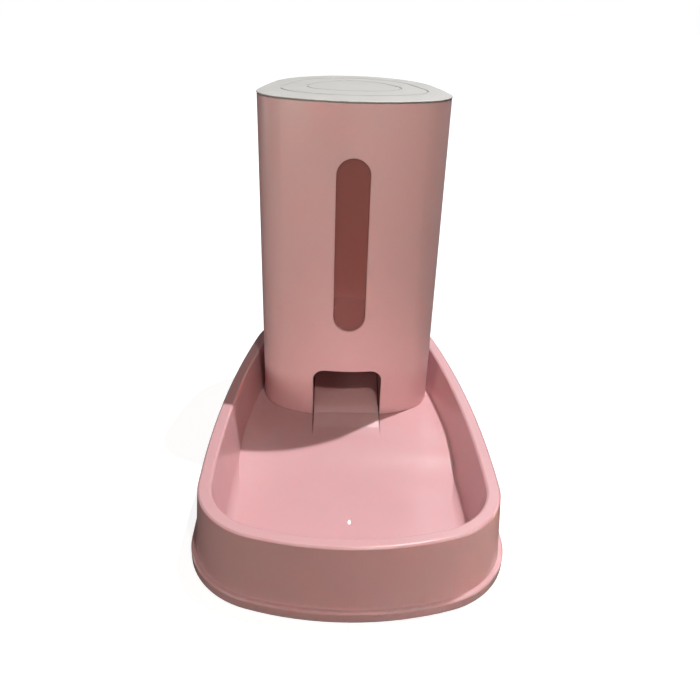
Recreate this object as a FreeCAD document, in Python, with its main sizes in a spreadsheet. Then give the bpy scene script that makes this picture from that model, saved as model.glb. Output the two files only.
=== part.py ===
"""Gravity pet feeder: a hopper tower that stands in a feeding tray, with a sight window and a lift-off lid.

Millimetres. The origin is on the ground under the middle of the object, +X is to the right as the feeder is
seen from its front, +Y points to its back and +Z up. The tray, the tower and the lid share one kind of plan
outline: a rounded triangle of six tangent arcs, with a broad front arc, two corner arcs, two nearly straight
side arcs and a back arc.
"""
import FreeCAD, Part
import math
import os
import Sketcher

# Driving dimensions

SIZES = {
    # Rim of the tray, seen from above
    "tray_width": 207.0,
    "tray_length": 355.2,
    "tray_front_radius": 210.0,
    "tray_corner_radius": 55.5,
    "tray_side_radius": 990.0,
    "tray_back_radius": 86.0,
    # Section of the tray
    "tray_height": 56.5,
    "tray_wall": 2.5,
    "rim_width": 9.15,
    "rim_bevel": 1.2,
    "skirt_draft": 4.6,
    "foot_reach": 3.0,
    "foot_height": 7.5,
    "foot_bevel": 1.0,
    "bowl_draft": 8.7,
    "bowl_round": 9.0,
    "floor_height": 10.0,
    "rise_length": 92.0,
    "rise_gap": 8.0,
    "seat_height": 22.9,
    "seat_clearance": 0.4,
    # Chute and tongue, which lead the food out of the tower
    "chute_clearance": 0.3,
    "chute_lift": 2.5,
    "chute_slope": 20.0,
    "tongue_reach": 23.0,
    "tongue_dip": 1.2,
    # Tower
    "tower_width": 148.0,
    "tower_depth": 144.1,
    "tower_front_radius": 126.0,
    "tower_corner_radius": 34.0,
    "tower_side_radius": 375.0,
    "tower_back_radius": 66.0,
    "tower_back_gap": 4.65,
    "tower_height": 262.3,
    "tower_wall": 2.4,
    "tower_bevel": 0.5,
    "mouth_width": 58.6,
    "mouth_height": 45.1,
    "mouth_corner": 10.0,
    "slot_width": 26.0,
    "slot_height": 141.0,
    "slot_lift": 83.1,
    # Window
    "window_recess": 0.5,
    "window_clearance": 0.15,
    "window_bevel": 0.5,
    "flange_reach": 4.0,
    "flange_thickness": 1.4,
    "flange_gap": 0.1,
    # Lid
    "lid_overhang": 0.3,
    "lid_edge": 0.8,
    "lid_bevel": 0.4,
    "reveal_height": 1.0,
    "reveal_depth": 1.4,
    "skirt_clearance": 0.3,
    "skirt_wall": 1.8,
    "skirt_depth": 9.0,
    "groove_width": 1.1,
    "groove_depth": 0.5,
    "ring_width": 116.0,
    "ring_depth": 101.0,
    "ring_front_radius": 98.0,
    "ring_corner_radius": 26.0,
    "ring_side_radius": 300.0,
    "ring_back_radius": 51.0,
    "ring_setback": 27.0,
    "panel_width": 76.0,
    "panel_depth": 61.0,
    "panel_front_radius": 66.0,
    "panel_corner_radius": 18.0,
    "panel_side_radius": 200.0,
    "panel_back_radius": 33.0,
    "panel_setback": 50.0,
    # Anti-slip pads
    "pad_diameter": 14.0,
    "pad_thickness": 2.5,
    "pad_proud": 1.0,
    "pad_clearance": 0.3,
    "boss_wall": 2.2,
    "back_pad_radius": 60.0,
    "back_pad_angle": 45.0,
}

doc = FreeCAD.newDocument("gravity_pet_feeder")
sheet = doc.addObject("Spreadsheet::Sheet", "sheet")
for row, (alias, size) in enumerate(SIZES.items(), start=1):
    sheet.set(f"A{row}", alias)
    sheet.set(f"B{row}", str(size))
    sheet.setAlias(f"B{row}", alias)
doc.recompute()

# Places that follow from the driving dimensions

TRAY_FRONT = "(-sheet.tray_length / 2)"
TOWER_BACK = "(sheet.tray_length / 2 - sheet.rim_width - sheet.tower_back_gap)"
TOWER_FRONT = f"({TOWER_BACK} - sheet.tower_depth)"
TOWER_TOP = "(sheet.seat_height + sheet.tower_height)"
BASE = "sheet.pad_proud"
CHUTE_FRONT = f"({TOWER_FRONT} + sheet.tower_wall + sheet.chute_clearance)"
CHUTE_INSET = "(sheet.tower_wall + sheet.chute_clearance)"
BEFORE_TOWER = f"(sheet.tower_wall - {TOWER_FRONT})"
FRONT_CUT = "(sheet.tower_wall + sheet.tower_depth / 2)"
RISE_END = f"({TOWER_FRONT} - sheet.rise_gap)"
RISE_START = f"({RISE_END} - sheet.rise_length)"
CAP_BOTTOM = f"({TOWER_TOP} + sheet.reveal_height)"
SKIRT_INSET = "(sheet.tower_wall + sheet.skirt_clearance)"
BOSS_RADIUS = "(sheet.pad_diameter / 2 + sheet.pad_clearance + sheet.boss_wall)"
FRONT_PAD_X = "(sheet.tray_width / 2 - sheet.tray_corner_radius)"
FRONT_PAD_Y = (
    f"({TRAY_FRONT} + sheet.tray_front_radius"
    f" - sqrt((sheet.tray_front_radius - sheet.tray_corner_radius) ^ 2 - {FRONT_PAD_X} ^ 2))"
)
BACK_PAD_X = "(sheet.back_pad_radius * cos(sheet.back_pad_angle * 1deg))"
BACK_PAD_Y = (
    "(sheet.tray_length / 2 - sheet.tray_back_radius"
    " + sheet.back_pad_radius * sin(sheet.back_pad_angle * 1deg))"
)

# Plan outlines: the sizes that each takes from the sheet, and the place of its front

TRAY_OUTLINE = ("tray_width", "tray_length", "tray_front_radius", "tray_corner_radius",
                "tray_side_radius", "tray_back_radius", TRAY_FRONT)
TOWER_OUTLINE = ("tower_width", "tower_depth", "tower_front_radius", "tower_corner_radius",
                 "tower_side_radius", "tower_back_radius", TOWER_FRONT)
RING_OUTLINE = ("ring_width", "ring_depth", "ring_front_radius", "ring_corner_radius",
                "ring_side_radius", "ring_back_radius", f"({TOWER_FRONT} + sheet.ring_setback)")
PANEL_OUTLINE = ("panel_width", "panel_depth", "panel_front_radius", "panel_corner_radius",
                 "panel_side_radius", "panel_back_radius", f"({TOWER_FRONT} + sheet.panel_setback)")


def value(expression):
    """Number that an expression in the sheet's aliases stands for."""
    return float(sheet.evalExpression(expression))


def point(x, y):
    return FreeCAD.Vector(x, y, 0)


def new_body(label):
    body = doc.addObject("PartDesign::Body", label)
    body.Label = label
    return body


def new_sketch(body, name, role="XY_Plane", offset=None):
    """Sketch on one of the body's origin planes, moved along its normal by an expression."""
    plane = next(item for item in body.Origin.OriginFeatures if item.Role == role)
    sketch = body.newObject("Sketcher::SketchObject", name)
    sketch.AttachmentSupport = (plane, "")
    sketch.MapMode = "FlatFace"
    if offset is not None:
        sketch.setExpression("AttachmentOffset.Base.z", offset)
    return sketch


def bind(sketch, name, constraint, expression):
    """Adds a dimension to a sketch and ties it to the sheet."""
    index = sketch.addConstraint(constraint)
    sketch.renameConstraint(index, name)
    sketch.setExpression(f"Constraints.{name}", expression)


def arc(sketch, centre, start, end):
    """Arc that runs counter-clockwise from start to end."""
    first = math.atan2(start.y - centre.y, start.x - centre.x)
    last = math.atan2(end.y - centre.y, end.x - centre.x)
    if last < first:
        last += 2 * math.pi
    circle = Part.Circle(centre, point(0, 0) + FreeCAD.Vector(0, 0, 1), (start - centre).Length)
    return sketch.addGeometry(Part.ArcOfCircle(circle, first, last), False)


def line(sketch, start, end):
    return sketch.addGeometry(Part.LineSegment(start, end), False)


def draw_outline(sketch, outline, grow="0", name="plan"):
    """Rounded triangle of six tangent arcs, grown outwards by an expression."""
    width, depth, front, corner, side, back, front_place = outline
    grown = value(grow)
    centre_x = f"(sheet.{width} / 2 - sheet.{corner})"
    front_y = f"({front_place} + sheet.{front})"
    back_y = f"({front_place} + sheet.{depth} - sheet.{back})"
    radii = [value(f"sheet.{item}") for item in (front, corner, side, back)]
    front_radius, corner_radius, side_radius, back_radius = radii
    reach = value(centre_x)
    front_centre = point(0, value(front_y))
    back_centre = point(0, value(back_y))
    corner_y = front_centre.y - math.sqrt((front_radius - corner_radius) ** 2 - reach ** 2)
    corner_centre = point(reach, corner_y)
    # The side arc's centre lies where two circles about the corner and back centres meet, on the far side
    span = back_centre - corner_centre
    to_corner = side_radius - corner_radius
    to_back = side_radius - back_radius
    along = (to_corner ** 2 - to_back ** 2 + span.Length ** 2) / (2 * span.Length)
    across = math.sqrt(to_corner ** 2 - along ** 2)
    unit = span / span.Length
    side_centre = corner_centre + unit * along + point(-abs(unit.y), -abs(unit.x)) * across
    front_joint = front_centre + (corner_centre - front_centre).normalize() * (front_radius + grown)
    corner_joint = side_centre + (corner_centre - side_centre).normalize() * (side_radius + grown)
    back_joint = side_centre + (back_centre - side_centre).normalize() * (side_radius + grown)

    def mirrored(place):
        return point(-place.x, place.y)

    arcs = [
        arc(sketch, front_centre, mirrored(front_joint), front_joint),
        arc(sketch, corner_centre, front_joint, corner_joint),
        arc(sketch, side_centre, corner_joint, back_joint),
        arc(sketch, back_centre, back_joint, mirrored(back_joint)),
        arc(sketch, mirrored(side_centre), mirrored(back_joint), mirrored(corner_joint)),
        arc(sketch, mirrored(corner_centre), mirrored(corner_joint), mirrored(front_joint)),
    ]
    for this, following in zip(arcs, arcs[1:] + arcs[:1]):
        sketch.addConstraint(Sketcher.Constraint("Tangent", this, 2, following, 1))
    sketch.addConstraint(Sketcher.Constraint("PointOnObject", arcs[0], 3, -2))
    sketch.addConstraint(Sketcher.Constraint("PointOnObject", arcs[3], 3, -2))
    sketch.addConstraint(Sketcher.Constraint("Equal", arcs[1], arcs[5]))
    sketch.addConstraint(Sketcher.Constraint("Equal", arcs[2], arcs[4]))
    for index, alias, radius in zip((0, 1, 2, 3), (front, corner, side, back), radii):
        size = Sketcher.Constraint("Radius", arcs[index], radius + grown)
        bind(sketch, f"{name}_{alias}", size, f"sheet.{alias} + {grow}")
    right = Sketcher.Constraint("DistanceX", -1, 1, arcs[1], 3, reach)
    left = Sketcher.Constraint("DistanceX", arcs[5], 3, -1, 1, reach)
    bind(sketch, f"{name}_right", right, centre_x)
    bind(sketch, f"{name}_left", left, centre_x)
    front_size = Sketcher.Constraint("DistanceY", -1, 1, arcs[0], 3, front_centre.y)
    back_size = Sketcher.Constraint("DistanceY", -1, 1, arcs[3], 3, back_centre.y)
    bind(sketch, f"{name}_front", front_size, front_y)
    bind(sketch, f"{name}_back", back_size, back_y)
    return sketch


def pad(body, sketch, name, length, downwards=False, taper=None):
    feature = body.newObject("PartDesign::Pad", name)
    feature.Profile = sketch
    feature.setExpression("Length", length)
    feature.Reversed = downwards
    if taper is not None:
        feature.setExpression("TaperAngle", taper)
    doc.recompute()
    return feature


def pocket(body, sketch, name, length=None, reversed_way=False, both_ways=False):
    feature = body.newObject("PartDesign::Pocket", name)
    feature.Profile = sketch
    if length is None:
        feature.Type = "ThroughAll"
    else:
        feature.setExpression("Length", length)
    feature.Reversed = reversed_way
    feature.Midplane = both_ways
    doc.recompute()
    return feature


def combine(body, tool, name, kind):
    feature = body.newObject("PartDesign::Boolean", name)
    feature.setObjects([tool])
    feature.Type = kind
    body.Tip = feature
    doc.recompute()
    return feature


def dress(body, kind, name, property_name, size, chosen):
    """Rounds or bevels the edges of the body's tip that the test chooses."""
    base = body.Tip
    edges = [f"Edge{number}" for number, edge in enumerate(base.Shape.Edges, start=1) if chosen(edge)]
    feature = body.newObject(f"PartDesign::{kind}", name)
    feature.Base = (base, edges)
    feature.setExpression(property_name, size)
    doc.recompute()
    return feature


def level(item, height):
    """True for an edge or a face that lies wholly at one height."""
    box = item.BoundBox
    return abs(box.ZMin - height) < 1e-3 and abs(box.ZMax - height) < 1e-3


def flat_face(body, height):
    """Widest of the body's faces that lie wholly at the height that an expression gives."""
    place = value(height)
    return max((face for face in body.Tip.Shape.Faces if level(face, place)), key=lambda face: face.Length)


def one_of(edges):
    """Test that holds for the given edges only."""
    return lambda edge: any(edge.isSame(other) for other in edges)


def floor_cut(body, name, drop):
    """Cuts away what lies below the food floor: level in front, then an S-shaped rise to the seat."""
    low = value(f"sheet.floor_height - {drop}")
    high = value(f"sheet.seat_height - {drop}")
    start = value(RISE_START)
    end = value(RISE_END)
    half_turn = math.atan((high - low) / (end - start))
    radius = (end - start) / (2 * math.sin(2 * half_turn))
    middle = point((start + end) / 2, (low + high) / 2)
    limit = value("sheet.tray_length")
    sketch = new_sketch(body, f"{name}_profile", "YZ_Plane")
    front_line = line(sketch, point(-limit, low), point(start, low))
    hollow = arc(sketch, point(start, low + radius), point(start, low), middle)
    crown = arc(sketch, point(end, high - radius), point(end, high), middle)
    seat_line = line(sketch, point(end, high), point(limit, high))
    back_line = line(sketch, point(limit, high), point(limit, -limit))
    bottom_line = line(sketch, point(limit, -limit), point(-limit, -limit))
    closing_line = line(sketch, point(-limit, -limit), point(-limit, low))
    joints = [
        (front_line, 2, hollow, 1, "Tangent"),
        (hollow, 2, crown, 2, "Tangent"),
        (crown, 1, seat_line, 1, "Tangent"),
        (seat_line, 2, back_line, 1, "Coincident"),
        (back_line, 2, bottom_line, 1, "Coincident"),
        (bottom_line, 2, closing_line, 1, "Coincident"),
        (closing_line, 2, front_line, 1, "Coincident"),
    ]
    for first, first_end, second, second_end, kind in joints:
        sketch.addConstraint(Sketcher.Constraint(kind, first, first_end, second, second_end))
    for flat in (front_line, seat_line, bottom_line):
        sketch.addConstraint(Sketcher.Constraint("Horizontal", flat))
    for upright in (back_line, closing_line):
        sketch.addConstraint(Sketcher.Constraint("Vertical", upright))
    sketch.addConstraint(Sketcher.Constraint("Equal", hollow, crown))
    places = [
        ("low", "DistanceY", front_line, 1, low, f"sheet.floor_height - {drop}"),
        ("high", "DistanceY", seat_line, 1, high, f"sheet.seat_height - {drop}"),
        ("start", "DistanceX", front_line, 2, start, RISE_START),
        ("end", "DistanceX", seat_line, 1, end, RISE_END),
        ("front_limit", "DistanceX", front_line, 1, -limit, "-sheet.tray_length"),
        ("back_limit", "DistanceX", seat_line, 2, limit, "sheet.tray_length"),
        ("bottom_limit", "DistanceY", bottom_line, 1, -limit, "-sheet.tray_length"),
    ]
    for label, kind, item, end_number, size, expression in places:
        bind(sketch, label, Sketcher.Constraint(kind, -1, 1, item, end_number, size), expression)
    pocket(body, sketch, name, both_ways=True)


def slope_profile(body, name, corners):
    """Closed straight-sided profile in the middle plane, each corner tied to two expressions."""
    sketch = new_sketch(body, name, "YZ_Plane")
    places = [point(value(y), value(z)) for y, z in corners]
    sides = [line(sketch, start, end) for start, end in zip(places, places[1:] + places[:1])]
    for this, following in zip(sides, sides[1:] + sides[:1]):
        sketch.addConstraint(Sketcher.Constraint("Coincident", this, 2, following, 1))
    for number, (side, place, (y, z)) in enumerate(zip(sides, places, corners)):
        bind(sketch, f"y{number}", Sketcher.Constraint("DistanceX", -1, 1, side, 1, place.x), y)
        bind(sketch, f"z{number}", Sketcher.Constraint("DistanceY", -1, 1, side, 1, place.y), z)
    return sketch


def chute_form(label, drop, bottom="0"):
    """Block in the foot of the tower under the sloping chute, lowered and narrowed by the drop."""
    body = new_body(label)
    inset = f"(-{CHUTE_INSET} - {drop})"
    front_height = f"(sheet.seat_height + sheet.chute_lift - {drop})"
    rise = "(sheet.tower_depth * tan(sheet.chute_slope * 1deg))"
    plan = draw_outline(new_sketch(body, "plan", offset=bottom), TOWER_OUTLINE, inset)
    pad(body, plan, "block", f"{front_height} + {rise}")
    above = slope_profile(body, "above_slope", [
        (f"{CHUTE_FRONT} - sheet.tower_depth", f"{front_height} - {rise}"),
        (f"{CHUTE_FRONT} + sheet.tower_depth", f"{front_height} + {rise}"),
        (f"{CHUTE_FRONT} + sheet.tower_depth", TOWER_TOP),
        (f"{CHUTE_FRONT} - sheet.tower_depth", TOWER_TOP),
    ])
    pocket(body, above, "slope", both_ways=True)
    return body


def bowl_form(label, grow, blend=None):
    """Room of the bowl, seen as a solid: drafted walls and the food floor that rises to the seat.

    The blend runs round the level floor and dies away where the rise covers it.
    """
    body = new_body(label)
    plan = new_sketch(body, "plan", offset="sheet.tray_height")
    draw_outline(plan, TRAY_OUTLINE, f"(-sheet.rim_width + {grow})")
    depth = f"(sheet.tray_height - sheet.floor_height + {grow})"
    pad(body, plan, "room", depth, downwards=True, taper="-sheet.bowl_draft")
    if blend is not None:
        bottom = value(f"sheet.floor_height - {grow}")
        dress(body, "Fillet", "floor_blend", "Radius", blend, lambda edge: level(edge, bottom))
    floor_cut(body, "food_floor", grow)
    return body


def seat_plan(body, grow):
    """Outline of the seat in which the tower stands, lowered and grown by an expression."""
    sketch = new_sketch(body, "seat_plan", offset=f"(sheet.seat_height - {grow})")
    return draw_outline(sketch, TOWER_OUTLINE, f"(sheet.seat_clearance + {grow})")


def pad_places():
    """Plan places of the four anti-slip pads: under the front corner arcs and within the back arc."""
    return {
        "pad_front_left": (f"-{FRONT_PAD_X}", FRONT_PAD_Y),
        "pad_front_right": (FRONT_PAD_X, FRONT_PAD_Y),
        "pad_back_left": (f"-{BACK_PAD_X}", BACK_PAD_Y),
        "pad_back_right": (BACK_PAD_X, BACK_PAD_Y),
    }


def draw_circles(sketch, radius, places):
    for number, (x, y) in enumerate(places):
        centre = point(value(x), value(y))
        circle = sketch.addGeometry(Part.Circle(centre, FreeCAD.Vector(0, 0, 1), value(radius)), False)
        bind(sketch, f"radius{number}", Sketcher.Constraint("Radius", circle, value(radius)), radius)
        bind(sketch, f"x{number}", Sketcher.Constraint("DistanceX", -1, 1, circle, 3, centre.x), x)
        bind(sketch, f"y{number}", Sketcher.Constraint("DistanceY", -1, 1, circle, 3, centre.y), y)


def underside_form():
    """Hollow of the tray, open at the ground, with the bosses of the pads left standing in it."""
    wall = "sheet.tray_wall"
    bowl_skin = bowl_form("bowl_skin", wall)
    pad(bowl_skin, seat_plan(bowl_skin, wall), "seat", f"(sheet.tray_height - sheet.seat_height + {wall})")
    body = new_body("underside")
    height = "(sheet.tray_height - sheet.tray_wall)"
    plan = new_sketch(body, "plan", offset=height)
    draw_outline(plan, TRAY_OUTLINE, "(-sheet.tray_wall)")
    pad(body, plan, "room", height, downwards=True, taper="sheet.skirt_draft")
    combine(body, bowl_skin, "skin_cut", "Cut")
    bosses = new_sketch(body, "boss_plan")
    draw_circles(bosses, BOSS_RADIUS, pad_places().values())
    pocket(body, bosses, "bosses", both_ways=True)
    return body


def make_tray():
    """Tray: flared skirt with a foot flange, flat rim, bowl, seat, chute and tongue in one moulding."""
    body = new_body("tray")
    rim_plan = new_sketch(body, "rim_plan", offset="sheet.tray_height")
    draw_outline(rim_plan, TRAY_OUTLINE)
    skirt_length = f"(sheet.tray_height - {BASE})"
    pad(body, rim_plan, "skirt", skirt_length, downwards=True, taper="sheet.skirt_draft")
    foot_grow = f"({skirt_length} * tan(sheet.skirt_draft * 1deg) + sheet.foot_reach)"
    foot_plan = new_sketch(body, "foot_plan", offset=BASE)
    draw_outline(foot_plan, TRAY_OUTLINE, foot_grow)
    pad(body, foot_plan, "foot", "sheet.foot_height")
    foot_top = flat_face(body, f"{BASE} + sheet.foot_height")
    dress(body, "Chamfer", "foot_edges", "Size", "sheet.foot_bevel", one_of(foot_top.OuterWire.Edges))
    combine(body, underside_form(), "underside_cut", "Cut")
    combine(body, bowl_form("bowl", "0", blend="sheet.bowl_round"), "bowl_cut", "Cut")
    rim = flat_face(body, "sheet.tray_height")
    dress(body, "Chamfer", "rim_edges", "Size", "sheet.rim_bevel", one_of(rim.Edges))
    pocket(body, seat_plan(body, "0"), "seat", "(sheet.tray_height - sheet.seat_height)", reversed_way=True)
    combine(body, chute_form("chute_room", "sheet.tray_wall"), "chute_cut", "Cut")
    chute = chute_form("chute", "0", "(sheet.seat_height - sheet.tray_wall)")
    combine(chute, chute_form("chute_hollow", "sheet.tray_wall"), "hollow", "Cut")
    combine(body, chute, "chute_join", "Fuse")

    tongue_side = "(sheet.mouth_width / 2 - sheet.chute_clearance)"
    tongue_root = "(sheet.seat_height - sheet.tongue_dip)"
    chute_foot = "(sheet.seat_height + sheet.chute_lift)"
    lap_end = f"({CHUTE_FRONT} + sheet.mouth_width / 4)"
    lap_top = f"({chute_foot} + sheet.mouth_width / 4 * tan(sheet.chute_slope * 1deg))"
    tongue = slope_profile(body, "tongue_profile", [
        (f"({TOWER_FRONT} - sheet.tongue_reach)", tongue_root),
        (CHUTE_FRONT, chute_foot),
        (lap_end, lap_top),
        (lap_end, f"({lap_top} - sheet.tray_wall)"),
        (CHUTE_FRONT, tongue_root),
    ])
    feature = body.newObject("PartDesign::Pad", "tongue")
    feature.Profile = tongue
    feature.setExpression("Length", f"2 * {tongue_side}")
    feature.Midplane = True
    doc.recompute()

    recess = new_sketch(body, "pad_recess_plan", offset=BASE)
    draw_circles(recess, "(sheet.pad_diameter / 2 + sheet.pad_clearance)", pad_places().values())
    pocket(body, recess, "pad_recesses", "(sheet.pad_thickness - sheet.pad_proud)", reversed_way=True)

    return body


def make_tower():
    """Hopper: a tube with the mouth notched into the foot of its front wall and the slot above it."""
    body = new_body("tower")
    outer = new_sketch(body, "outer_plan", offset="sheet.seat_height")
    draw_outline(outer, TOWER_OUTLINE)
    pad(body, outer, "block", "sheet.tower_height")
    inner = new_sketch(body, "inner_plan", offset="sheet.seat_height")
    draw_outline(inner, TOWER_OUTLINE, "(-sheet.tower_wall)")
    pocket(body, inner, "tube", both_ways=True)

    mouth = new_sketch(body, "mouth_profile", "XZ_Plane", BEFORE_TOWER)
    half = value("sheet.mouth_width / 2")
    bottom = value("sheet.seat_height - sheet.tower_wall")
    top = value("sheet.seat_height + sheet.mouth_height")
    corner = value("sheet.mouth_corner")
    right_corner = point(half - corner, top - corner)
    left_corner = point(corner - half, top - corner)
    parts = [
        line(mouth, point(-half, bottom), point(half, bottom)),
        line(mouth, point(half, bottom), point(half, top - corner)),
        arc(mouth, right_corner, point(half, top - corner), point(half - corner, top)),
        line(mouth, point(half - corner, top), point(corner - half, top)),
        arc(mouth, left_corner, point(corner - half, top), point(-half, top - corner)),
        line(mouth, point(-half, top - corner), point(-half, bottom)),
    ]
    joints = ["Coincident", "Tangent", "Tangent", "Tangent", "Tangent", "Coincident"]
    for kind, this, following in zip(joints, parts, parts[1:] + parts[:1]):
        mouth.addConstraint(Sketcher.Constraint(kind, this, 2, following, 1))
    mouth.addConstraint(Sketcher.Constraint("Horizontal", parts[0]))
    mouth.addConstraint(Sketcher.Constraint("Vertical", parts[1]))
    mouth.addConstraint(Sketcher.Constraint("Vertical", parts[5]))
    mouth.addConstraint(Sketcher.Constraint("Equal", parts[2], parts[4]))
    bind(mouth, "corner", Sketcher.Constraint("Radius", parts[2], corner), "sheet.mouth_corner")
    bind(mouth, "width", Sketcher.Constraint("DistanceX", parts[0], 1, parts[0], 2, 2 * half),
         "sheet.mouth_width")
    bind(mouth, "left", Sketcher.Constraint("DistanceX", parts[0], 1, -1, 1, half), "sheet.mouth_width / 2")
    bind(mouth, "bottom", Sketcher.Constraint("DistanceY", -1, 1, parts[0], 1, bottom),
         "sheet.seat_height - sheet.tower_wall")
    bind(mouth, "top", Sketcher.Constraint("DistanceY", -1, 1, parts[3], 1, top),
         "sheet.seat_height + sheet.mouth_height")
    pocket(body, mouth, "mouth", FRONT_CUT)

    slot = new_sketch(body, "slot_profile", "XZ_Plane", BEFORE_TOWER)
    draw_pill(slot, "0")
    pocket(body, slot, "slot", FRONT_CUT)
    foot = value("sheet.seat_height")
    dress(body, "Chamfer", "foot_edges", "Size", "sheet.tower_bevel", lambda edge: level(edge, foot))
    return body


def draw_pill(sketch, grow):
    """Upright outline with full round ends in the plan of the slot, grown by an expression."""
    radius = f"(sheet.slot_width / 2 + {grow})"
    low = "(sheet.seat_height + sheet.slot_lift + sheet.slot_width / 2)"
    high = "(sheet.seat_height + sheet.slot_lift + sheet.slot_height - sheet.slot_width / 2)"
    half = value(radius)
    lower = value(low)
    upper = value(high)
    parts = [
        arc(sketch, point(0, lower), point(-half, lower), point(half, lower)),
        line(sketch, point(half, lower), point(half, upper)),
        arc(sketch, point(0, upper), point(half, upper), point(-half, upper)),
        line(sketch, point(-half, upper), point(-half, lower)),
    ]
    for this, following in zip(parts, parts[1:] + parts[:1]):
        sketch.addConstraint(Sketcher.Constraint("Tangent", this, 2, following, 1))
    sketch.addConstraint(Sketcher.Constraint("PointOnObject", parts[0], 3, -2))
    sketch.addConstraint(Sketcher.Constraint("PointOnObject", parts[2], 3, -2))
    bind(sketch, "radius", Sketcher.Constraint("Radius", parts[0], half), radius)
    bind(sketch, "low", Sketcher.Constraint("DistanceY", -1, 1, parts[0], 3, lower), low)
    bind(sketch, "high", Sketcher.Constraint("DistanceY", -1, 1, parts[2], 3, upper), high)


def wall_layer(label, inner_depth, outer_depth):
    """Upright layer that follows the tower's front wall between two depths behind its face."""
    body = new_body(label)
    plan = new_sketch(body, "plan", offset="(sheet.seat_height + sheet.slot_lift - sheet.slot_width)")
    centre = point(0, value(f"{TOWER_FRONT} + sheet.tower_front_radius"))
    radii = []
    for name, depth in (("outer", outer_depth), ("inner", inner_depth)):
        radius = f"(sheet.tower_front_radius - {depth})"
        circle = plan.addGeometry(Part.Circle(centre, FreeCAD.Vector(0, 0, 1), value(radius)), False)
        bind(plan, name, Sketcher.Constraint("Radius", circle, value(radius)), radius)
        plan.addConstraint(Sketcher.Constraint("PointOnObject", circle, 3, -2))
        bind(plan, f"{name}_centre", Sketcher.Constraint("DistanceY", -1, 1, circle, 3, centre.y),
             f"{TOWER_FRONT} + sheet.tower_front_radius")
        radii.append(circle)
    pad(body, plan, "layer", "(sheet.slot_height + 2 * sheet.slot_width)")
    return body


def pill_block(label, grow):
    """Prism with the slot's outline that reaches from the front into the tower's room."""
    body = new_body(label)
    sketch = new_sketch(body, "profile", "XZ_Plane", BEFORE_TOWER)
    draw_pill(sketch, grow)
    pad(body, sketch, "prism", FRONT_CUT, downwards=True)
    return body


def make_window():
    """Clear insert: a plug that fills the slot in front of a flange that lies behind the wall."""
    flange_front = "(sheet.tower_wall + sheet.flange_gap)"
    flange_back = f"({flange_front} + sheet.flange_thickness)"
    plug = wall_layer("window", flange_front, "sheet.window_recess")
    combine(plug, pill_block("plug_pill", "(-sheet.window_clearance)"), "plug_trim", "Common")
    front_face = min(plug.Tip.Shape.Faces, key=lambda face: face.CenterOfMass.y)
    dress(plug, "Chamfer", "plug_bevel", "Size", "sheet.window_bevel", one_of(front_face.Edges))
    flange = wall_layer("flange", flange_back, flange_front)
    combine(flange, pill_block("flange_pill", "sheet.flange_reach"), "flange_trim", "Common")
    combine(plug, flange, "flange_join", "Fuse")
    return plug


def make_lid():
    """Lid: a thin cap over a set-back step that shows as a shadow line, two ring grooves and a skirt."""
    body = new_body("lid")
    cap = new_sketch(body, "cap_plan", offset=CAP_BOTTOM)
    draw_outline(cap, TOWER_OUTLINE, "sheet.lid_overhang")
    pad(body, cap, "cap", "sheet.lid_edge")
    step = new_sketch(body, "step_plan", offset=CAP_BOTTOM)
    draw_outline(step, TOWER_OUTLINE, "(-sheet.reveal_depth)")
    pad(body, step, "step", "sheet.reveal_height", downwards=True)
    skirt = new_sketch(body, "skirt_plan", offset=TOWER_TOP)
    draw_outline(skirt, TOWER_OUTLINE, f"(-{SKIRT_INSET})")
    pad(body, skirt, "skirt", "sheet.skirt_depth", downwards=True)
    hollow = new_sketch(body, "hollow_plan", offset=f"({TOWER_TOP} - sheet.skirt_depth)")
    draw_outline(hollow, TOWER_OUTLINE, f"(-{SKIRT_INSET} - sheet.skirt_wall)")
    pocket(body, hollow, "hollow", "sheet.skirt_depth", reversed_way=True)
    relief = new_sketch(body, "relief_plan", offset=f"({CAP_BOTTOM} + sheet.lid_edge)")
    for name, outline in (("ring", RING_OUTLINE), ("panel", PANEL_OUTLINE)):
        draw_outline(relief, outline, name=name)
        draw_outline(relief, outline, "(-sheet.groove_width)", f"{name}_inside")
    pocket(body, relief, "relief", "sheet.groove_depth")
    cap_top = flat_face(body, f"{CAP_BOTTOM} + sheet.lid_edge")
    dress(body, "Chamfer", "cap_edges", "Size", "sheet.lid_bevel", one_of(cap_top.OuterWire.Edges))
    return body


def make_pads():
    """Anti-slip pads: discs seated in the bosses under the tray."""
    pads = []
    for label, (x, y) in pad_places().items():
        body = new_body(label)
        plan = new_sketch(body, "plan")
        draw_circles(plan, "(sheet.pad_diameter / 2)", [("0", "0")])
        pad(body, plan, "disc", "sheet.pad_thickness")
        body.setExpression("Placement.Base.x", x)
        body.setExpression("Placement.Base.y", y)
        pads.append(body)
    return pads


pieces = [make_tray(), make_tower(), make_window(), make_lid()] + make_pads()
doc.recompute()

for item in doc.Objects:
    if "Invalid" in item.State or "Error" in item.State:
        raise RuntimeError(f"{item.Label} failed: {item.State}")
for piece in pieces:
    if piece.Shape.isNull() or not piece.Shape.isValid():
        raise RuntimeError(f"{piece.Label} has no valid shape")

os.makedirs("parts", exist_ok=True)
for piece in pieces:
    piece.Shape.exportStep(f"parts/{piece.Label}.step")
    box = piece.Shape.BoundBox
    print(f"{piece.Label}: {len(piece.Shape.Solids)} solid, {piece.Shape.Volume:.1f} mm3,"
          f" x {box.XMin:.2f} to {box.XMax:.2f}, y {box.YMin:.2f} to {box.YMax:.2f},"
          f" z {box.ZMin:.2f} to {box.ZMax:.2f}")
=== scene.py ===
import math

import bpy
from mathutils import Matrix, Vector

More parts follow.
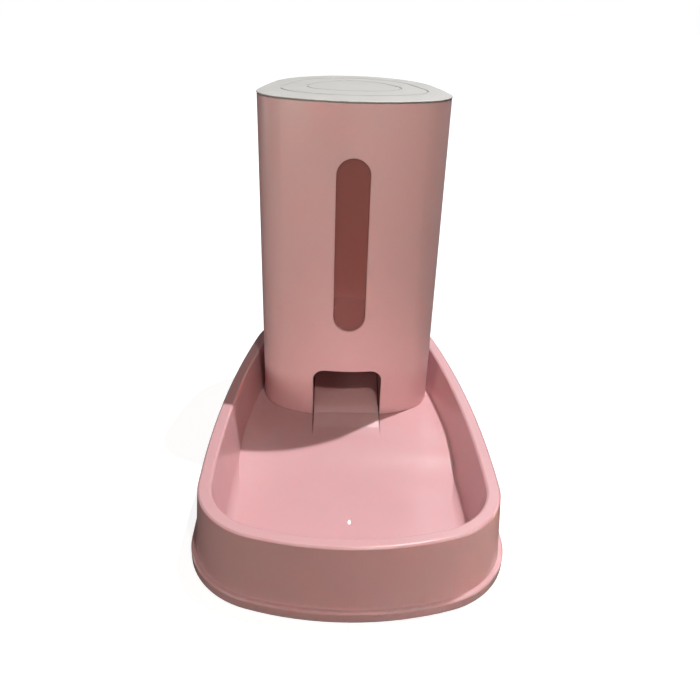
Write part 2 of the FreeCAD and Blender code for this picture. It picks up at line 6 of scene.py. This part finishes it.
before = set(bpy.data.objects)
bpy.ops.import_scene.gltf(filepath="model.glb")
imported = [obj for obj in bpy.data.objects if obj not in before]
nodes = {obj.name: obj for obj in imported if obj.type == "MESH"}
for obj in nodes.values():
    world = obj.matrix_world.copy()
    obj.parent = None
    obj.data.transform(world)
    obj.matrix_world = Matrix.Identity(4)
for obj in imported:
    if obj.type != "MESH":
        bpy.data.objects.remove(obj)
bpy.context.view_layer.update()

# Tray: the feeding tray is one injection moulding in pastel pink polypropylene with a satin shine. The skin
# is not quite even: broad clouds in the tone, a slightly varying gloss and a fine grain. The mark of the
# injection gate glints on the level floor, and the tongue stands up from the rise in front of the mouth.


def new_socket(tree, name, kind, way, value=None):
    """Adds an input or output to a node group."""
    socket = tree.interface.new_socket(name=name, in_out=way, socket_type=kind)
    if value is not None:
        socket.default_value = value


def add_node(tree, kind, place, **settings):
    """Adds a node at a place in the tree and sets its attributes."""
    node = tree.nodes.new(kind)
    node.location = place
    for name, value in settings.items():
        setattr(node, name, value)
    return node


def map_range(tree, place, span, result=(0.0, 1.0), smooth=True):
    """Adds a Map Range node that turns the span into the result."""
    kind = "SMOOTHSTEP" if smooth else "LINEAR"
    node = add_node(tree, "ShaderNodeMapRange", place, interpolation_type=kind)
    node.inputs["From Min"].default_value = span[0]
    node.inputs["From Max"].default_value = span[1]
    node.inputs["To Min"].default_value = result[0]
    node.inputs["To Max"].default_value = result[1]
    return node


def noise(tree, place, scale, detail):
    """Adds a noise texture; the scale is in features per metre."""
    node = add_node(tree, "ShaderNodeTexNoise", place)
    node.inputs["Scale"].default_value = scale
    node.inputs["Detail"].default_value = detail
    return node


def moulded_skin_group():
    """Colour, gloss and height of a moulded plastic skin, in the object's own coordinates."""
    tree = bpy.data.node_groups.new("moulded_skin", "ShaderNodeTree")
    new_socket(tree, "Plastic colour", "NodeSocketColor", "INPUT", (0.8, 0.8, 0.8, 1.0))
    new_socket(tree, "Cloud colour", "NodeSocketColor", "INPUT", (0.7, 0.7, 0.7, 1.0))
    new_socket(tree, "Cloud amount", "NodeSocketFloat", "INPUT", 0.3)
    new_socket(tree, "Gloss roughness", "NodeSocketFloat", "INPUT", 0.3)
    new_socket(tree, "Rub roughness", "NodeSocketFloat", "INPUT", 0.4)
    new_socket(tree, "Grain height", "NodeSocketFloat", "INPUT", 0.2)
    new_socket(tree, "Colour", "NodeSocketColor", "OUTPUT")
    new_socket(tree, "Roughness", "NodeSocketFloat", "OUTPUT")
    new_socket(tree, "Height", "NodeSocketFloat", "OUTPUT")
    inputs = add_node(tree, "NodeGroupInput", (-900, 0))
    outputs = add_node(tree, "NodeGroupOutput", (500, 0))
    coordinates = add_node(tree, "ShaderNodeTexCoord", (-900, -300))
    link = tree.links.new

    clouds = noise(tree, (-650, 200), 14.0, 3.0)
    clouds.inputs["Roughness"].default_value = 0.45
    cloud_mask = map_range(tree, (-400, 200), (0.38, 0.68))
    cloud_share = add_node(tree, "ShaderNodeMath", (-200, 200), operation="MULTIPLY")
    tint = add_node(tree, "ShaderNodeMix", (100, 200), data_type="RGBA")
    link(coordinates.outputs["Object"], clouds.inputs["Vector"])
    link(clouds.outputs["Fac"], cloud_mask.inputs["Value"])
    link(cloud_mask.outputs["Result"], cloud_share.inputs[0])
    link(inputs.outputs["Cloud amount"], cloud_share.inputs[1])
    link(cloud_share.outputs["Value"], tint.inputs["Factor"])
    link(inputs.outputs["Plastic colour"], tint.inputs["A"])
    link(inputs.outputs["Cloud colour"], tint.inputs["B"])
    link(tint.outputs["Result"], outputs.inputs["Colour"])

    stretched = add_node(tree, "ShaderNodeMapping", (-650, -150))
    stretched.inputs["Scale"].default_value = (95.0, 55.0, 80.0)
    rubs = noise(tree, (-400, -100), 1.0, 1.0)
    rub_mask = map_range(tree, (-200, -100), (0.25, 0.85))
    gloss = add_node(tree, "ShaderNodeMix", (100, -100), data_type="FLOAT")
    link(coordinates.outputs["Object"], stretched.inputs["Vector"])
    link(stretched.outputs["Vector"], rubs.inputs["Vector"])
    link(rubs.outputs["Fac"], rub_mask.inputs["Value"])
    link(rub_mask.outputs["Result"], gloss.inputs["Factor"])
    link(inputs.outputs["Gloss roughness"], gloss.inputs["A"])
    link(inputs.outputs["Rub roughness"], gloss.inputs["B"])
    link(gloss.outputs["Result"], outputs.inputs["Roughness"])

    grain = noise(tree, (-400, -400), 900.0, 2.0)
    swell = noise(tree, (-400, -650), 26.0, 1.0)
    grain_share = add_node(tree, "ShaderNodeMath", (-150, -400), operation="MULTIPLY")
    height = add_node(tree, "ShaderNodeMath", (100, -500), operation="ADD")
    link(coordinates.outputs["Object"], grain.inputs["Vector"])
    link(coordinates.outputs["Object"], swell.inputs["Vector"])
    link(grain.outputs["Fac"], grain_share.inputs[0])
    link(inputs.outputs["Grain height"], grain_share.inputs[1])
    link(grain_share.outputs["Value"], height.inputs[0])
    link(swell.outputs["Fac"], height.inputs[1])
    link(height.outputs["Value"], outputs.inputs["Height"])
    return tree


moulded_skin = moulded_skin_group()


def moulded_plastic(name, colour, cloud, amount, gloss, rubbed, grain, edge_radius, glow=0.0):
    """Plastic with a moulded skin and softly rounded edges; glow is how much light enters the wall."""
    material = bpy.data.materials.new(name)
    material.use_nodes = True
    tree = material.node_tree
    shader = tree.nodes["Principled BSDF"]
    shader.inputs["IOR"].default_value = 1.49
    shader.inputs["Subsurface Weight"].default_value = glow
    shader.inputs["Subsurface Radius"].default_value = (1.0, 0.35, 0.3)
    shader.inputs["Subsurface Scale"].default_value = 0.004
    skin = add_node(tree, "ShaderNodeGroup", (-700, 100), node_tree=moulded_skin, name="skin")
    skin.inputs["Plastic colour"].default_value = (*colour, 1.0)
    skin.inputs["Cloud colour"].default_value = (*cloud, 1.0)
    skin.inputs["Cloud amount"].default_value = amount
    skin.inputs["Gloss roughness"].default_value = gloss
    skin.inputs["Rub roughness"].default_value = rubbed
    skin.inputs["Grain height"].default_value = grain
    edge = add_node(tree, "ShaderNodeBevel", (-700, -300), samples=6)
    edge.inputs["Radius"].default_value = edge_radius
    relief = add_node(tree, "ShaderNodeBump", (-350, -150), name="relief")
    relief.inputs["Strength"].default_value = 0.14
    relief.inputs["Distance"].default_value = 0.0004
    link = tree.links.new
    link(skin.outputs["Colour"], shader.inputs["Base Color"])
    link(skin.outputs["Roughness"], shader.inputs["Roughness"])
    link(skin.outputs["Height"], relief.inputs["Height"])
    link(edge.outputs["Normal"], relief.inputs["Normal"])
    link(relief.outputs["Normal"], shader.inputs["Normal"])
    return material


def dress_node(name, material):
    """Gives a carried-over solid its material in every slot."""
    piece = nodes[name]
    for slot in piece.material_slots:
        slot.material = material
    if not piece.material_slots:
        piece.data.materials.append(material)


def add_gate_mark(tree, coordinates, place, stretch, facing, polish):
    """Tips and polishes a small oval patch; gives the node whose result is the new normal."""
    offset = add_node(tree, "ShaderNodeVectorMath", (-1100, -450), operation="SUBTRACT")
    offset.inputs[1].default_value = place
    oval = add_node(tree, "ShaderNodeVectorMath", (-950, -450), operation="MULTIPLY")
    oval.inputs[1].default_value = stretch
    distance = add_node(tree, "ShaderNodeVectorMath", (-800, -450), operation="LENGTH")
    mask = map_range(tree, (-650, -450), (0.5, 1.0), (1.0, 0.0))
    tilt = add_node(tree, "ShaderNodeMix", (-150, -450), data_type="VECTOR")
    tilt.inputs["B"].default_value = facing
    polished = add_node(tree, "ShaderNodeMath", (-350, 150), operation="MULTIPLY_ADD")
    polished.inputs[1].default_value = -polish
    link = tree.links.new
    link(coordinates.outputs["Object"], offset.inputs[0])
    link(offset.outputs["Vector"], oval.inputs[0])
    link(oval.outputs["Vector"], distance.inputs[0])
    link(distance.outputs["Value"], mask.inputs["Value"])
    link(mask.outputs["Result"], tilt.inputs["Factor"])
    link(tree.nodes["relief"].outputs["Normal"], tilt.inputs["A"])
    link(mask.outputs["Result"], polished.inputs[0])
    link(tree.nodes["skin"].outputs["Roughness"], polished.inputs[2])
    link(polished.outputs["Value"], tree.nodes["Principled BSDF"].inputs["Roughness"])
    return tilt


def add_tongue_relief(tree, coordinates, half_width, start, crest, end, rise):
    """Shades a strip along Y as if it climbed from start to crest; gives the bump node."""
    parts = add_node(tree, "ShaderNodeSeparateXYZ", (-1100, -900))
    side = add_node(tree, "ShaderNodeMath", (-900, -850), operation="ABSOLUTE")
    width = map_range(tree, (-700, -850), half_width, (1.0, 0.0), smooth=False)
    ramp = map_range(tree, (-700, -1100), (start, crest))
    fade = map_range(tree, (-700, -1350), end, (1.0, 0.0))
    strip = add_node(tree, "ShaderNodeMath", (-450, -950), operation="MULTIPLY")
    whole = add_node(tree, "ShaderNodeMath", (-300, -1050), operation="MULTIPLY")
    bump = add_node(tree, "ShaderNodeBump", (-150, -750))
    bump.inputs["Distance"].default_value = rise
    link = tree.links.new
    link(coordinates.outputs["Object"], parts.inputs["Vector"])
    link(parts.outputs["X"], side.inputs[0])
    link(side.outputs["Value"], width.inputs["Value"])
    link(parts.outputs["Y"], ramp.inputs["Value"])
    link(parts.outputs["Y"], fade.inputs["Value"])
    link(width.outputs["Result"], strip.inputs[0])
    link(ramp.outputs["Result"], strip.inputs[1])
    link(strip.outputs["Value"], whole.inputs[0])
    link(fade.outputs["Result"], whole.inputs[1])
    link(whole.outputs["Value"], bump.inputs["Height"])
    return bump


PINK = (0.635, 0.373, 0.397)
DEEP_PINK = (0.615, 0.353, 0.377)
# The gate mark: its middle, one over its half lengths, the way its patch faces, and how much glossier it is.
GATE_PLACE = (0.0012, -0.1015, 0.0095)
GATE_STRETCH = (900.0, 290.0, 100.0)
GATE_FACING = (0.115, -0.331, 0.936)
GATE_POLISH = 0.04
# The tongue: the inner and outer line of its edge, where it starts to climb, is full and has faded out.
TONGUE_HALF_WIDTH = (0.0282, 0.0292)
TONGUE_START = -0.010
TONGUE_CREST = 0.045
TONGUE_END = (0.06, 0.16)
TONGUE_RISE = 0.012
tray_plastic = moulded_plastic("tray_pink_plastic", PINK, DEEP_PINK, amount=0.5, gloss=0.22, rubbed=0.265,
                               grain=0.02, edge_radius=0.0012, glow=0.3)
skin_tree = tray_plastic.node_tree
skin_place = add_node(skin_tree, "ShaderNodeTexCoord", (-1300, -600))
gate_tilt = add_gate_mark(skin_tree, skin_place, GATE_PLACE, GATE_STRETCH, GATE_FACING, GATE_POLISH)
tongue_bump = add_tongue_relief(skin_tree, skin_place, TONGUE_HALF_WIDTH, TONGUE_START, TONGUE_CREST,
                                TONGUE_END, TONGUE_RISE)
skin_tree.links.new(gate_tilt.outputs["Result"], tongue_bump.inputs["Normal"])
skin_tree.links.new(tongue_bump.outputs["Normal"], skin_tree.nodes["Principled BSDF"].inputs["Normal"])
dress_node("tray", tray_plastic)

# Tower: the hopper is a second moulding in the same pink plastic, a tube that stands in the tray's seat.
# Its colour is painted lighter than the tray's pink: painted light for the extra light on its front. Its
# skin is a little duller than the tray's, and some light passes through its wall.
TOWER_PINK_PAINTED_LIGHTER = (0.87, 0.555, 0.58)
TOWER_DEEP_PINK_PAINTED_LIGHTER = (0.85, 0.535, 0.56)
tower_plastic = moulded_plastic("tower_pink_plastic", TOWER_PINK_PAINTED_LIGHTER, TOWER_DEEP_PINK_PAINTED_LIGHTER, amount=0.5, gloss=0.3,
                                rubbed=0.36, grain=0.06, edge_radius=0.0006, glow=0.35)
dress_node("tower", tower_plastic)

# Window: a clear insert, snapped into the slot from inside so that the level of the food shows. Its pink
# colour is painted glow that stands in for the lit pink inside of the tower seen through it. It has a film
# of dust in its gloss and the faint flow lines of a thin moulding.
WINDOW_TINT_PAINTED_GLOW = (0.95, 0.50, 0.47, 1.0)
WINDOW_PASS_TINT = (0.80, 0.50, 0.48, 1.0)
window_clear = bpy.data.materials.new("window_clear_plastic")
window_clear.use_nodes = True
clear_tree = window_clear.node_tree
clear = clear_tree.nodes["Principled BSDF"]
clear.inputs["Base Color"].default_value = WINDOW_TINT_PAINTED_GLOW
clear.inputs["IOR"].default_value = 1.55
clear.inputs["Transmission Weight"].default_value = 0.82
clear_place = add_node(clear_tree, "ShaderNodeTexCoord", (-1100, 0))
dust = noise(clear_tree, (-900, 0), 60.0, 3.0)
dusty = map_range(clear_tree, (-700, 0), (0.0, 1.0), (0.04, 0.16), smooth=False)
flow = noise(clear_tree, (-900, -300), 35.0, 2.0)
flow_bump = add_node(clear_tree, "ShaderNodeBump", (-700, -300))
flow_bump.inputs["Strength"].default_value = 0.15
flow_bump.inputs["Distance"].default_value = 0.0005
clear_rays = add_node(clear_tree, "ShaderNodeLightPath", (-500, 500))
clear_pass = add_node(clear_tree, "ShaderNodeMath", (-300, 450), operation="MAXIMUM")
see_through = add_node(clear_tree, "ShaderNodeBsdfTransparent", (-100, -500))
see_through.inputs["Color"].default_value = WINDOW_PASS_TINT
clear_mix = add_node(clear_tree, "ShaderNodeMixShader", (350, 300))
clear_link = clear_tree.links.new
clear_link(clear_place.outputs["Object"], dust.inputs["Vector"])
clear_link(clear_place.outputs["Object"], flow.inputs["Vector"])
clear_link(dust.outputs["Fac"], dusty.inputs["Value"])
clear_link(dusty.outputs["Result"], clear.inputs["Roughness"])
clear_link(flow.outputs["Fac"], flow_bump.inputs["Height"])
clear_link(flow_bump.outputs["Normal"], clear.inputs["Normal"])
clear_link(clear_rays.outputs["Is Shadow Ray"], clear_pass.inputs[0])
clear_link(clear_rays.outputs["Is Diffuse Ray"], clear_pass.inputs[1])
clear_link(clear_pass.outputs["Value"], clear_mix.inputs[0])
clear_link(clear.outputs["BSDF"], clear_mix.inputs[1])
clear_link(see_through.outputs["BSDF"], clear_mix.inputs[2])
clear_link(clear_mix.outputs["Shader"], clear_tree.nodes["Material Output"].inputs["Surface"])
dress_node("window", window_clear)

# Lid: a grey-white cap, moulded in a harder plastic with a dull finish, that plugs into the tower. Its top
# has two ring grooves round a bare middle.
LID_WHITE = (0.54, 0.535, 0.525)
LID_SHADE = (0.51, 0.505, 0.495)
lid_plastic = moulded_plastic("lid_white_plastic", LID_WHITE, LID_SHADE, amount=0.5, gloss=0.36,
                              rubbed=0.46, grain=0.3, edge_radius=0.0008)
dress_node("lid", lid_plastic)

# Pads: four discs of dark rubber, stuck into the bosses under the tray so that it does not slide. The
# rubber is dull and grey with dust.
RUBBER_BLACK = (0.035, 0.034, 0.033)
RUBBER_DUST = (0.09, 0.085, 0.08)
pad_rubber = moulded_plastic("pad_rubber", RUBBER_BLACK, RUBBER_DUST, amount=0.8, gloss=0.7,
                             rubbed=0.85, grain=1.0, edge_radius=0.0003)
for end in ("front", "back"):
    for side in ("left", "right"):
        dress_node(f"pad_{end}_{side}", pad_rubber)

# Stage: a floor that shows white to the camera and keeps a pale shadow of the feeder. For every other ray
# it is dark, so that little light comes back from below, as in the photograph.
REACH = 6.0
FLOOR_DARK = (0.035, 0.022, 0.014, 1.0)
FLOOR_PALE = (0.30, 0.30, 0.30, 1.0)
floor_mesh = bpy.data.meshes.new("floor")
floor_corners = [(-REACH, -REACH, 0), (REACH, -REACH, 0), (REACH, REACH, 0), (-REACH, REACH, 0)]
floor_mesh.from_pydata(floor_corners, [], [(0, 1, 2, 3)])
floor = bpy.data.objects.new("floor", floor_mesh)
bpy.context.scene.collection.objects.link(floor)
floor_paint = bpy.data.materials.new("floor_pale")
floor_paint.use_nodes = True
floor_tree = floor_paint.node_tree
paint = floor_tree.nodes["Principled BSDF"]
paint.inputs["Roughness"].default_value = 0.9
paint.inputs["Emission Color"].default_value = (1.0, 1.0, 1.0, 1.0)
rays = add_node(floor_tree, "ShaderNodeLightPath", (-600, 0))
place = add_node(floor_tree, "ShaderNodeTexCoord", (-1000, -200))
away = add_node(floor_tree, "ShaderNodeVectorMath", (-800, -200), operation="LENGTH")
whiten = map_range(floor_tree, (-600, -200), (0.25, 0.9), (0.88, 1.0))
lift = add_node(floor_tree, "ShaderNodeMath", (-300, 0), operation="MULTIPLY")
shade = add_node(floor_tree, "ShaderNodeMix", (-300, 250), data_type="RGBA")
shade.inputs["A"].default_value = FLOOR_DARK
shade.inputs["B"].default_value = FLOOR_PALE
floor_link = floor_tree.links.new
floor_link(rays.outputs["Is Camera Ray"], shade.inputs["Factor"])
floor_link(shade.outputs["Result"], paint.inputs["Base Color"])
floor_link(place.outputs["Object"], away.inputs[0])
floor_link(away.outputs["Value"], whiten.inputs["Value"])
floor_link(whiten.outputs["Result"], lift.inputs[1])
floor_link(rays.outputs["Is Camera Ray"], lift.inputs[0])
floor_link(lift.outputs["Value"], paint.inputs["Emission Strength"])
floor_mesh.materials.append(floor_paint)

# World: white where the camera sees it, directly or through the window, and nearly black for the light that
# it gives. A bright ceiling shows in surfaces that mirror what is overhead.
WORLD_LEVEL = 0.03
world = bpy.data.worlds.new("studio")
bpy.context.scene.world = world
world.use_nodes = True
world_tree = world.node_tree
sky = world_tree.nodes["Background"]
sky.inputs["Color"].default_value = (1.0, 1.0, 1.0, 1.0)
paths = add_node(world_tree, "ShaderNodeLightPath", (-700, 0))
seen = add_node(world_tree, "ShaderNodeMath", (-500, 0), operation="MAXIMUM")
above = add_node(world_tree, "ShaderNodeTexCoord", (-1100, -300))
height_of_ray = add_node(world_tree, "ShaderNodeSeparateXYZ", (-900, -300))
ceiling = map_range(world_tree, (-700, -300), (0.6, 0.9))
mirrored = add_node(world_tree, "ShaderNodeMath", (-500, -200), operation="MULTIPLY")
shown = add_node(world_tree, "ShaderNodeMath", (-350, 100), operation="MAXIMUM")
level = map_range(world_tree, (-150, 0), (0.0, 1.0), (WORLD_LEVEL, 1.0), smooth=False)
world_link = world_tree.links.new
world_link(paths.outputs["Is Camera Ray"], seen.inputs[0])
world_link(paths.outputs["Is Transmission Ray"], seen.inputs[1])
world_link(above.outputs["Generated"], height_of_ray.inputs["Vector"])
world_link(height_of_ray.outputs["Z"], ceiling.inputs["Value"])
world_link(ceiling.outputs["Result"], mirrored.inputs[0])
world_link(paths.outputs["Is Glossy Ray"], mirrored.inputs[1])
world_link(seen.outputs["Value"], shown.inputs[0])
world_link(mirrored.outputs["Value"], shown.inputs[1])
world_link(shown.outputs["Value"], level.inputs["Value"])
world_link(level.outputs["Result"], sky.inputs["Strength"])

# Lamps: a small key stands high, to the right and a little behind, so that the tower's crisp shadow falls
# over the bowl. A second small lamp in front lights the mouth, and low fills open the upright faces. A
# soft lamp behind gives the rims their sheen.


def area_light(name, azimuth, elevation, distance, size, power, aim=(0.0, 0.0, 0.1), colour=(1.0, 1.0, 1.0)):
    """Square lamp that looks at a point from an azimuth (0 is +X, 90 is +Y) and an elevation in degrees."""
    lamp = bpy.data.lights.new(name, "AREA")
    lamp.size = size
    lamp.energy = power
    lamp.color = colour
    holder = bpy.data.objects.new(name, lamp)
    bpy.context.scene.collection.objects.link(holder)
    around = math.radians(azimuth)
    up = math.radians(elevation)
    direction = Vector((math.cos(up) * math.cos(around), math.cos(up) * math.sin(around), math.sin(up)))
    holder.location = Vector(aim) + direction * distance
    holder.rotation_mode = "QUATERNION"
    holder.rotation_quaternion = direction.to_track_quat("Z", "Y")
    return holder


WARM = (1.0, 0.91, 0.78)
MOUTH = (0.0, 0.02, 0.07)
RIGHT_SKIRT = (0.10, -0.13, 0.01)
NARROW = math.radians(12.0)
area_light("key", azimuth=34.6, elevation=73.5, distance=2.2, size=0.03, power=48.0)
area_light("second", azimuth=-77.0, elevation=49.0, distance=1.0, size=0.05, power=2.8, aim=MOUTH,
           colour=WARM)
area_light("front_fill", azimuth=-70.0, elevation=8.0, distance=2.0, size=0.8, power=3.8, colour=WARM)
area_light("left_fill", azimuth=-135.0, elevation=6.0, distance=2.0, size=0.8, power=9.0, colour=WARM)
right_fill = area_light("right_fill", azimuth=-20.0, elevation=2.0, distance=1.2, size=0.15, power=0.07,
                        aim=RIGHT_SKIRT, colour=WARM)
right_fill.data.spread = NARROW
area_light("back_sheen", azimuth=66.0, elevation=38.0, distance=2.0, size=0.9, power=3.8)
area_light("back_fill", azimuth=168.0, elevation=1.0, distance=2.0, size=0.6, power=3.5)

# Camera: stands where the photograph was taken, half a metre in front of the tower and well above the lid.
# It looks down at the tray and is turned a little to the side.
LENS_MM = 36.33
SENSOR_MM = 36.0
NEAR_CLIP = 0.01
CAMERA_PLACE = Vector((-0.01569, -0.50129, 0.36365))
YAW = math.radians(1.895)
PITCH = math.radians(27.782)
ROLL = math.radians(1.930)
forward = Vector((math.sin(YAW) * math.cos(PITCH), math.cos(YAW) * math.cos(PITCH), -math.sin(PITCH)))
level_right = Vector((math.cos(YAW), -math.sin(YAW), 0.0))
level_up = level_right.cross(forward)
right = level_right * math.cos(ROLL) + level_up * math.sin(ROLL)
up = level_up * math.cos(ROLL) - level_right * math.sin(ROLL)
lens = bpy.data.cameras.new("camera")
lens.lens = LENS_MM
lens.sensor_width = SENSOR_MM
lens.clip_start = NEAR_CLIP
camera = bpy.data.objects.new("camera", lens)
bpy.context.scene.collection.objects.link(camera)
turn = Matrix((right, up, -forward)).transposed()
camera.matrix_world = Matrix.Translation(CAMERA_PLACE) @ turn.to_4x4()
bpy.context.scene.camera = camera
bpy.context.scene.view_settings.view_transform = "Standard"
